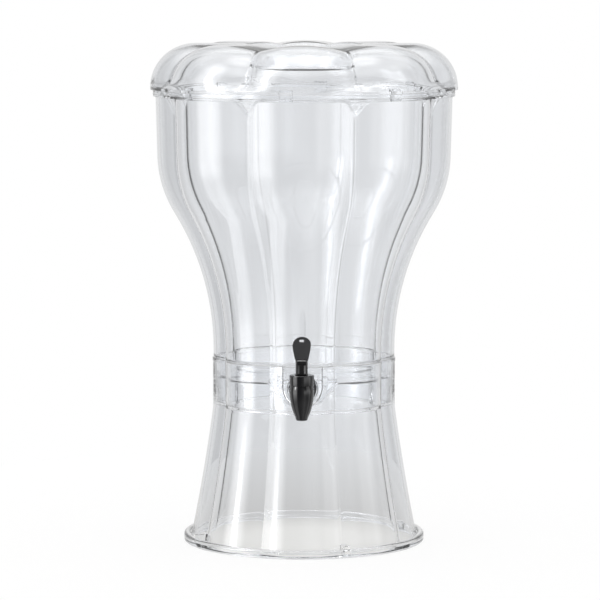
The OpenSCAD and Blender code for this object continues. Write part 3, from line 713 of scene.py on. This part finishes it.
def stem_form():
    """A round stem with a knob below, a shoulder for the spring and a bar under the lever's cam."""
    shoulder_r, bar_top = COIL_R + WIRE_R + 0.3, BONNET_TOP - 0.3
    form = turned([
        (0, KNOB_Z, 0), (KNOB_R, KNOB_Z, 0.3), (KNOB_R, KNOB_Z + KNOB_TALL, 0.3),
        (STEM_R, KNOB_Z + KNOB_TALL + 0.4, 0.2), (STEM_R, SHOULDER_Z - SHOULDER_THICK, 0.2),
        (shoulder_r, SHOULDER_Z - SHOULDER_THICK, 0.3), (shoulder_r, SHOULDER_Z, 0.3), (STEM_R, SHOULDER_Z, 0.2),
        (STEM_R, BAR_Z + 0.6, 0), (0, BAR_Z + 0.6, 0)], 48, closed=False)
    bar = box(bmesh.new(), (2 * (LEVER_HALF - 0.3), 2 * BAR_HALF, bar_top - BAR_Z), (0, 0, (bar_top + BAR_Z) / 2))
    return at_tap(combine(form, softened(bar, 0.3), "UNION"))


def spring_form(sides=10, steps=28):
    """The wire as a circle screwed up round the stem, closed at both ends."""
    bm = bmesh.new()
    ring = bmesh.ops.create_circle(bm, cap_ends=True, segments=sides, radius=WIRE_R)["verts"]
    bmesh.ops.rotate(bm, cent=(0, 0, 0), matrix=Matrix.Rotation(math.pi / 2, 3, "X"), verts=ring)
    bmesh.ops.translate(bm, vec=(COIL_R, 0, COIL_LOW), verts=ring)
    total = steps * COIL_TURNS
    bmesh.ops.spin(
        bm, geom=bm.verts[:] + bm.edges[:] + bm.faces[:], cent=(0, 0, 0), axis=(0, 0, 1),
        dvec=(0, 0, (COIL_HIGH - COIL_LOW) / total), angle=2 * math.pi * COIL_TURNS, steps=total,
        use_merge=False, use_normal_flip=False, use_duplicate=False)
    return at_tap(close_up(bm))


def seat_cup_form():
    """A plug on the stem's knob, widening to a bell that is held under the bonnet."""
    pocket, bell = KNOB_R + 0.1, COIL_R + WIRE_R + 1.1
    top = KNOB_Z + KNOB_TALL
    return at_tap(turned([
        (0, SEAT_Z, 0), (OUTLET_R + 2, SEAT_Z, 0.6), (OUTLET_R + 2, SEAT_Z + 2.5, 0.8),
        (pocket + 1.6, KNOB_Z + 1.5, 0.5), (pocket + 1.5, top + 1.2, 0.8), (bell + 0.9, SHANK_Z, 0.8),
        (bell + 0.9, CHAMBER_RIM - 1, 0.3), (CHAMBER_R - 0.3, CHAMBER_RIM + 0.05, 0),
        (BONNET_PLUG_R - 0.1, CHAMBER_RIM + 0.05, 0.2), (BONNET_PLUG_R - 0.1, PLUG_DEEP, 0.2),
        (bell + 0.4, PLUG_DEEP, 0.2), (bell + 0.1, CHAMBER_RIM - 0.4, 0.3), (bell, SHANK_Z, 0.6),
        (STEM_BORE_R, top + 1.4, 0.2), (STEM_BORE_R, top + 0.5, 0.2), (pocket, top + 0.1, 0.2),
        (pocket, KNOB_Z, 0.2), (0, KNOB_Z, 0)], 64, closed=False))


def washer_form(back):
    front = back + WASHER_THICK
    return laid_forward(turned(
        [(SHANK_HOLE_R, back, 0.4), (WASHER_R, back, 0.6), (WASHER_R, front, 0.6), (SHANK_HOLE_R, front, 0.4)], 96))


def nut_form():
    bm = bmesh.new()
    bmesh.ops.create_circle(bm, cap_ends=True, segments=6, radius=NUT_FLATS / 2 / math.cos(math.pi / 6))
    bm = softened(pushed(bm, bm.faces[:], (0, 0, NUT_THICK)), 0.8)
    form = combine(bm, rod(SHANK_R, -1, NUT_THICK + 1), "DIFFERENCE")
    return laid_forward(moved(form, z=PAD_BACK - WASHER_THICK - NUT_THICK))


def pin_form():
    half = math.sqrt(BONNET_R ** 2 - CRANK ** 2) - 0.3
    return at_tap(laid_across(rod(PIN_R, -half, half, 0.25, 32), -CRANK, PIN_Z))


# Finishes


class Nodes:
    """A tree of shader nodes with short ways to add them and join them."""

    def __init__(self, tree):
        self.nodes, self.links = tree.nodes, tree.links

    def add(self, kind, **settings):
        node = self.nodes.new("ShaderNode" + kind)
        for name, value in settings.items():
            setattr(node, name, value)
        return node

    def feed(self, socket, value):
        """Joins an input to an output, or sets it to a number or a colour."""
        if isinstance(value, bpy.types.NodeSocket):
            self.links.new(value, socket)
        else:
            socket.default_value = value

    def fill(self, node, **values):
        """Feeds a node's inputs by name, with each space in a name as a low line."""
        for name, value in values.items():
            self.feed(node.inputs[name.replace("_", " ")], value)
        return node.outputs[0]

    def math(self, operation, a, b=0.0, clamp=False):
        node = self.add("Math", operation=operation, use_clamp=clamp)
        self.feed(node.inputs[0], a)
        self.feed(node.inputs[1], b)
        return node.outputs["Value"]

    def ranged(self, value, low, high, start=0.3, end=0.7, kind="LINEAR"):
        """Takes a value from between start and end to between low and high."""
        node = self.add("MapRange", interpolation_type=kind)
        self.fill(node, Value=value, From_Min=start, From_Max=end, To_Min=low, To_Max=high)
        return node.outputs["Result"]

    def step(self, value, start, end):
        return self.ranged(value, 0, 1, start, end, "SMOOTHSTEP")

    def mix(self, factor, a, b, kind="FLOAT"):
        node = self.add("Mix", data_type=kind)
        self.fill(node, Factor=factor, A=a, B=b)
        return node.outputs["Result"]

    def choose(self, factor, a, b):
        """The first shader where the factor is 0, and the second where it is 1."""
        node = self.add("MixShader")
        for socket, value in zip(node.inputs, (factor, a, b)):
            self.feed(socket, value)
        return node.outputs["Shader"]


class Finish(Nodes):
    """A material with a Principled shader, built on Object coordinates."""

    def __init__(self, name):
        self.material = bpy.data.materials.new(name)
        self.material.use_nodes = True
        super().__init__(self.material.node_tree)
        self.shader = self.nodes["Principled BSDF"]
        self.place = self.add("TexCoord").outputs["Object"]

    def set(self, **values):
        self.fill(self.shader, **values)

    def along(self, axis):
        node = self.add("SeparateXYZ")
        self.fill(node, Vector=self.place)
        return node.outputs[axis]

    def noise(self, scale, detail, stretch=(1, 1, 1)):
        stretched = self.fill(self.add("Mapping"), Vector=self.place, Scale=stretch)
        node = self.add("TexNoise")
        self.fill(node, Vector=stretched, Scale=scale, Detail=detail)
        return node.outputs["Fac"]

    def tone(self, factor, dark, light):
        self.set(Base_Color=self.mix(factor, (*dark, 1), (*light, 1), "RGBA"))

    def rough(self, scale, detail, low, high):
        return self.ranged(self.noise(scale, detail), low, high)

    def bump(self, value, strength, distance):
        self.set(Normal=self.fill(self.add("Bump"), Strength=strength, Distance=distance, Height=value))


def shade(colour, share):
    return tuple(c * share for c in colour)


def clear_plastic(name):
    finish = Finish(name)
    finish.set(
        Base_Color=(*colours().clear, 1), Transmission_Weight=1.0, IOR=1.49, Roughness=finish.rough(55, 4, 0.006, 0.03))
    finish.bump(finish.noise(22, 2, (1, 1, 0.35)), 0.05, 0.0006)
    return finish.material


def gloss_black(name):
    finish = Finish(name)
    colour = tuple(colours().gloss_black)
    finish.set(IOR=1.6, Roughness=finish.rough(240, 4, 0.03, 0.07))
    finish.tone(finish.noise(380, 3), colour, shade(colour, 1.6))
    finish.bump(finish.noise(1600, 2), 0.06, 0.0001)
    return finish.material


def satin_black(name):
    """Satin above the lever's ledge, polished below it."""
    finish = Finish(name)
    colour = tuple(colours().satin_black)
    upper = finish.ranged(finish.along("Z"), 0, 1, (LEDGE_Z - 0.6) * MM, (LEDGE_Z + 0.6) * MM)
    polished, satin = finish.rough(300, 3, 0.1, 0.18), finish.rough(700, 3, 0.36, 0.5)
    finish.set(IOR=1.55, Roughness=finish.mix(upper, polished, satin))
    finish.tone(upper, shade(colour, 0.3), colour)
    finish.bump(finish.mix(upper, finish.noise(900, 2), finish.noise(3200, 2)), 0.2, 0.0001)
    return finish.material


def seal_rubber(name):
    finish = Finish(name)
    colour = tuple(colours().rubber)
    finish.set(IOR=1.43, Roughness=finish.rough(420, 3, 0.5, 0.7))
    finish.tone(finish.noise(600, 3), colour, shade(colour, 1.4))
    finish.bump(finish.noise(2400, 2), 0.2, 0.0001)
    return finish.material


def drawn_steel(name):
    finish = Finish(name)
    colour = tuple(colours().steel)
    finish.set(Metallic=1.0, Roughness=finish.rough(1200, 3, 0.22, 0.38))
    finish.tone(finish.noise(900, 3), shade(colour, 0.85), colour)
    finish.bump(finish.noise(5000, 2), 0.12, 0.00005)
    return finish.material


FINISHES = {
    "clear_plastic": clear_plastic,
    "black_gloss": gloss_black,
    "black_matte": satin_black,
    "seal_rubber": seal_rubber,
    "steel": drawn_steel,
}


def add_piece(name, form, body, slot, node, crease=32, stretch=None):
    """Makes a finished form a piece of the dispenser, in place of a node of the frame.

    A piece with a stretch is left unattached, with its place baked into its mesh; the two heights of the stretch are
    not used.
    """
    bmesh.ops.remove_doubles(form, verts=form.verts, dist=1e-4)
    bmesh.ops.dissolve_degenerate(form, dist=1e-4, edges=form.edges)
    bmesh.ops.scale(form, vec=(MM, MM, MM), verts=form.verts)
    mesh = bpy.data.meshes.new(name)
    form.to_mesh(mesh)
    form.free()
    mesh.shade_smooth()
    mesh.set_sharp_from_angle(angle=math.radians(crease))
    finish = "finish_" + slot
    mesh.materials.append(bpy.data.materials.get(finish) or FINISHES[slot](finish))
    piece = bpy.data.objects.new(name, mesh)
    bpy.context.scene.collection.objects.link(piece)
    if stretch is None:
        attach(piece, body)
    else:
        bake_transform(piece)
    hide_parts(node)


# Operators


class DISPENSER_OT_stand(bpy.types.Operator):
    """Builds the clear stand with its foot ring, collar, ledge and notch"""
    bl_idname = "dispenser.stand"
    bl_label = "Stand"

    def execute(self, context):
        add_piece("clear_stand", stand_form(), "stand", "clear_plastic", "base_stand")
        return {"FINISHED"}


class DISPENSER_OT_tank(bpy.types.Operator):
    """Builds the clear tank with its sump and tap pad"""
    bl_idname = "dispenser.tank"
    bl_label = "Tank"

    def execute(self, context):
        add_piece("clear_tank", tank_form(), "vessel", "clear_plastic", "tank")
        return {"FINISHED"}


class DISPENSER_OT_lid(bpy.types.Operator):
    """Builds the clear domed lid with its well and tabs"""
    bl_idname = "dispenser.lid"
    bl_label = "Lid"

    def execute(self, context):
        add_piece("clear_lid", lid_form(), "cover", "clear_plastic", "lid")
        return {"FINISHED"}


class DISPENSER_OT_tap_body(bpy.types.Operator):
    """Builds the tap's barrel, flange and shank, and the bonnet on it"""
    bl_idname = "dispenser.tap_body"
    bl_label = "Tap body and bonnet"

    def execute(self, context):
        add_piece("tap_barrel", tap_body_form(), "vessel", "black_gloss", "spigot_body")
        add_piece("tap_bonnet", bonnet_form(), "vessel", "black_gloss", "bonnet")
        return {"FINISHED"}


class DISPENSER_OT_tap_lever(bpy.types.Operator):
    """Builds the lever and its pivot pin"""
    bl_idname = "dispenser.tap_lever"
    bl_label = "Lever and pin"

    def execute(self, context):
        add_piece("tap_lever", lever_form(), "lever", "black_matte", "lever")
        add_piece("lever_pin", pin_form(), "vessel", "steel", "pivot_pin")
        return {"FINISHED"}


class DISPENSER_OT_tap_valve(bpy.types.Operator):
    """Builds the valve inside the tap: stem, spring and seat cup"""
    bl_idname = "dispenser.tap_valve"
    bl_label = "Valve"

    def execute(self, context):
        add_piece("tap_stem", stem_form(), "stem", "black_matte", "valve_stem")
        add_piece("stem_spring", spring_form(), "vessel", "steel", "return_spring", crease=60,
                  stretch=(COIL_LOW + 2 * WIRE_R, COIL_HIGH - 2 * WIRE_R))
        add_piece("valve_cup", seat_cup_form(), "vessel", "seal_rubber", "seat_cup",
                  stretch=(CUP_FLEX_LOW, CUP_FLEX_HIGH))
        return {"FINISHED"}


class DISPENSER_OT_tap_fixing(bpy.types.Operator):
    """Builds the washers and the lock nut that hold the tap in the tank"""
    bl_idname = "dispenser.tap_fixing"
    bl_label = "Washers and nut"

    def execute(self, context):
        add_piece("washer_outside", washer_form(PAD_FRONT), "vessel", "seal_rubber", "outer_washer")
        add_piece("washer_inside", washer_form(PAD_BACK - WASHER_THICK), "vessel", "seal_rubber", "inner_washer")
        add_piece("shank_nut", nut_form(), "vessel", "black_gloss", "lock_nut")
        return {"FINISHED"}


# Studio, with its lengths in metres


CAMERA_FAR, CAMERA_HIGH, CAMERA_LENS, CAMERA_SENSOR, CAMERA_REACH = 3.331, 0.598, 196.8, 36, 50
CAMERA_TURN, CAMERA_PITCH, CAMERA_AIM = math.radians(0.95), math.radians(6.03), math.radians(0.07)


class Sky(Nodes):
    """The world's nodes, with each ray's turn from the camera's side and its rise."""

    def __init__(self, world):
        world.use_nodes = True
        super().__init__(world.node_tree)
        self.nodes.clear()
        split = self.add("SeparateXYZ")
        self.fill(split, Vector=self.add("TexCoord").outputs["Generated"])
        self.turn = self.math("ARCTAN2", split.outputs["X"], self.math("MULTIPLY", split.outputs["Y"], -1))
        self.rise = self.math("ARCSINE", split.outputs["Z"])

    def panel(self, low, high, bottom, top, soft):
        """1 inside a panel between two turns and two rises, in degrees, and 0 outside it."""
        low, high, bottom, top, soft = (math.radians(v) for v in (low, high, bottom, top, soft))
        inside = self.step(self.turn, low - soft, low + soft)
        inside = self.math("MULTIPLY", inside, self.step(self.turn, high + soft, high - soft))
        inside = self.math("MULTIPLY", inside, self.step(self.rise, bottom - soft, bottom + soft))
        return self.math("MULTIPLY", inside, self.step(self.rise, top + soft, top - soft))

    def background(self, strength, tint=(1, 1, 1)):
        return self.fill(self.add("Background"), Color=(*tint, 1), Strength=strength)


# Panels of light as (from turn, to turn, from rise, to rise, softness, strength in the surface's own reflections,
# strength in reflections seen through the plastic), in degrees from the camera's side.
PANELS = (
    (-86, -46, -88, -8, 8, 0.7, 2.6),
    (-86, -46, -14, 62, 10, 3.0, 2.4),
    (-70, -58, 6, 50, 3, 9.0, 3.0),
    (22, 92, -88, -8, 7, 0.2, 0.2),
    (22, 92, -10, 4, 7, 1.1, 0.7),
    (48, 80, 0, 40, 6, 0.9, 0.0),
    (72, 90, -88, 58, 5, 0.4, 0.4),
    (2, 40, -88, 20, 16, 0.2, 1.0),
    (-200, 200, 42, 95, 10, 2.0, 1.1),
    (-200, 200, 74, 95, 8, 4.0, 0.0),
)
PLAIN_LEVEL = 0.95
STUDIO_LEVEL, STUDIO_BACK, TABLE_LEVEL = 0.1, 0.75, 0.15
BACKDROP_LEVEL, BACKDROP_TINT, FRONT_LEVEL = 0.74, (0.975, 0.985, 1.0), 0.72
STRIPES, STRIPE_DEPTH, STRIPE_SHARE = 16, 0.24, 0.35
BEHIND_FROM, BEHIND_FULL = math.radians(85), math.radians(120)
TABLE_FROM, TABLE_FULL = math.radians(-12), math.radians(-30)
# Fewer mirror bounces leave the thick edges of the plastic grey.
BOUNCES, MIRROR_BOUNCES = 64, 17
FLOOR_R, FLOOR_DROP, FLOOR_FRONT, FLOOR_SHARE, FLOOR_WHITE = 0.6, 0.0003, 0.16, 0.85, 1.03
# Painted light and shadow on the floor seen through the plastic, as (distance from the axis, colour): a painted pool of
# light inside the ring, a painted shadow just outside it, and paler again further off.
FLOOR_LIGHT_AND_SHADOW = (
    (0.06, (0.895, 0.89, 0.865)),
    (0.118, (0.74, 0.735, 0.72)),
    (0.15, (0.575, 0.57, 0.562)),
    (0.6, (0.70, 0.708, 0.716)),
)


def paint_world(world):
    """White to the camera, a pale backdrop with dark gaps through the plastic, panels of light in reflections."""
    sky = Sky(world)
    behind = sky.step(sky.math("ABSOLUTE", sky.turn), BEHIND_FROM, BEHIND_FULL)
    table = sky.step(sky.rise, TABLE_FROM, TABLE_FULL)
    studio = sky.math("ADD", sky.math("MULTIPLY", behind, STUDIO_BACK), sky.math("MULTIPLY", table, TABLE_LEVEL))
    studio = sky.math("ADD", studio, STUDIO_LEVEL)
    front = 0.0
    for *place, reflected, passed in PANELS:
        light = sky.panel(*place)
        studio = sky.math("ADD", sky.math("MULTIPLY", light, reflected), studio)
        front = sky.math("ADD", sky.math("MULTIPLY", light, passed), front)
    # Rays that go straight through the plastic see no panel, so the part looks alike from every side.
    path = sky.add("LightPath").outputs
    turned_back = sky.math("MINIMUM", path["Glossy Depth"], 1)
    front = sky.math("ADD", sky.math("MULTIPLY", front, turned_back), FRONT_LEVEL)
    wave = sky.math("COSINE", sky.math("MULTIPLY", sky.turn, STRIPES))
    gaps = sky.math("MULTIPLY", sky.step(wave, -1 + 2 * STRIPE_SHARE, -1), STRIPE_DEPTH)
    backdrop = sky.math("MULTIPLY", sky.math("SUBTRACT", 1, gaps), BACKDROP_LEVEL)
    through = sky.math("ADD", sky.math("MULTIPLY", backdrop, behind),
                       sky.math("MULTIPLY", front, sky.math("SUBTRACT", 1, behind)))
    seen = sky.choose(path["Is Glossy Ray"], sky.background(PLAIN_LEVEL), sky.background(studio))
    seen = sky.choose(path["Is Transmission Ray"], seen, sky.background(through, BACKDROP_TINT))
    seen = sky.choose(path["Is Camera Ray"], seen, sky.background(1.0))
    sky.feed(sky.add("OutputWorld").inputs["Surface"], seen)


def floor_finish():
    """White to the camera with a share of its own shading, so that the shadow stays, and left out of reflections.

    Seen through the plastic it glows by its distance from the axis, with painted light inside the ring and a painted
    shadow just outside it, and its front is left out.
    """
    finish = Finish("studio_floor")
    finish.set(Base_Color=(*colours().floor, 1), Roughness=0.9, Specular_IOR_Level=0.0)
    path = finish.add("LightPath").outputs
    direct, through = path["Is Camera Ray"], path["Is Transmission Ray"]
    length = finish.add("VectorMath", operation="LENGTH")
    finish.feed(length.inputs[0], finish.place)
    # This ramp paints light and shadow on the floor by the distance from the axis, for rays through the plastic.
    painted_floor_light = finish.add("ValToRGB")
    finish.fill(painted_floor_light, Fac=finish.math("DIVIDE", length.outputs["Value"], FLOOR_R))
    stops = painted_floor_light.color_ramp.elements
    for distance, _ in FLOOR_LIGHT_AND_SHADOW[1:-1]:
        stops.new(distance / FLOOR_R)
    for stop, (distance, colour) in zip(stops, FLOOR_LIGHT_AND_SHADOW):
        stop.position, stop.color = distance / FLOOR_R, (*colour, 1)
    white = (FLOOR_WHITE, FLOOR_WHITE, FLOOR_WHITE, 1)
    light = finish.fill(finish.add("Emission"), Color=finish.mix(direct, painted_floor_light.outputs["Color"], white, "RGBA"))
    share = finish.math("MULTIPLY", finish.math("MAXIMUM", direct, through), FLOOR_SHARE)
    shown = finish.choose(share, finish.shader.outputs["BSDF"], light)
    mirrored = finish.math("SUBTRACT", path["Is Glossy Ray"], through, clamp=True)
    in_front = finish.math("LESS_THAN", finish.along("Y"), -FLOOR_FRONT)
    left_out = finish.math("MAXIMUM", mirrored, finish.math("MULTIPLY", in_front, through))
    surface = finish.choose(left_out, shown, finish.add("BsdfTransparent").outputs["BSDF"])
    finish.feed(finish.nodes["Material Output"].inputs["Surface"], surface)
    return finish.material


class DISPENSER_OT_stage(bpy.types.Operator):
    """Lays the floor, lights the studio and sets up the camera"""
    bl_idname = "dispenser.stage"
    bl_label = "Stage"

    def execute(self, context):
        scene = context.scene
        scene.view_settings.view_transform = "Standard"
        scene.cycles.max_bounces = BOUNCES
        scene.cycles.transmission_bounces = BOUNCES
        scene.cycles.glossy_bounces = MIRROR_BOUNCES
        bm = bmesh.new()
        bmesh.ops.create_circle(bm, cap_ends=True, cap_tris=False, segments=96, radius=FLOOR_R)
        moved(bm, z=-FLOOR_DROP)
        mesh = bpy.data.meshes.new("studio_floor")
        bm.to_mesh(mesh)
        bm.free()
        mesh.materials.append(floor_finish())
        floor = bpy.data.objects.new("studio_floor", mesh)
        scene.collection.objects.link(floor)
        if scene.world is None:
            scene.world = bpy.data.worlds.new("studio")
        paint_world(scene.world)
        camera = bpy.data.objects.new("camera", bpy.data.cameras.new("camera"))
        camera.data.lens = CAMERA_LENS
        camera.data.sensor_width = CAMERA_SENSOR
        camera.data.clip_end = CAMERA_REACH
        camera.location = (
            CAMERA_FAR * math.sin(CAMERA_TURN), -CAMERA_FAR * math.cos(CAMERA_TURN), CAMERA_HIGH)
        camera.rotation_euler = (math.pi / 2 - CAMERA_PITCH, 0, CAMERA_TURN + CAMERA_AIM)
        scene.collection.objects.link(camera)
        scene.camera = camera
        return {"FINISHED"}


class DISPENSER_PT_panel(bpy.types.Panel):
    """Sizes, colours and builders of the dispenser"""
    bl_idname = "DISPENSER_PT_panel"
    bl_label = "Drink dispenser"
    bl_space_type = "VIEW_3D"
    bl_region_type = "UI"
    bl_category = "Dispenser"

    def draw(self, context):
        for group in (context.scene.dispenser_sizes, context.scene.dispenser_colours):
            rows = self.layout.box()
            for name in group.__annotations__:
                rows.prop(group, name)
        for operator in OPERATORS:
            self.layout.operator(operator.bl_idname)


OPERATORS = (
    DISPENSER_OT_stage,
    DISPENSER_OT_stand,
    DISPENSER_OT_tank,
    DISPENSER_OT_lid,
    DISPENSER_OT_tap_body,
    DISPENSER_OT_tap_lever,
    DISPENSER_OT_tap_valve,
    DISPENSER_OT_tap_fixing,
)
CLASSES = (DispenserSizes, DispenserColours) + OPERATORS + (DISPENSER_PT_panel,)


def register():
    for cls in CLASSES:
        bpy.utils.register_class(cls)
    bpy.types.Scene.dispenser_sizes = bpy.props.PointerProperty(type=DispenserSizes)
    bpy.types.Scene.dispenser_colours = bpy.props.PointerProperty(type=DispenserColours)


def unregister():
    del bpy.types.Scene.dispenser_colours
    del bpy.types.Scene.dispenser_sizes
    for cls in reversed(CLASSES):
        bpy.utils.unregister_class(cls)


def main():
    register()
    bpy.ops.dispenser.stage()
    bpy.ops.dispenser.stand()
    bpy.ops.dispenser.tank()
    bpy.ops.dispenser.lid()
    bpy.ops.dispenser.tap_body()
    bpy.ops.dispenser.tap_lever()
    bpy.ops.dispenser.tap_valve()
    bpy.ops.dispenser.tap_fixing()


if __name__ == "__main__":
    main()
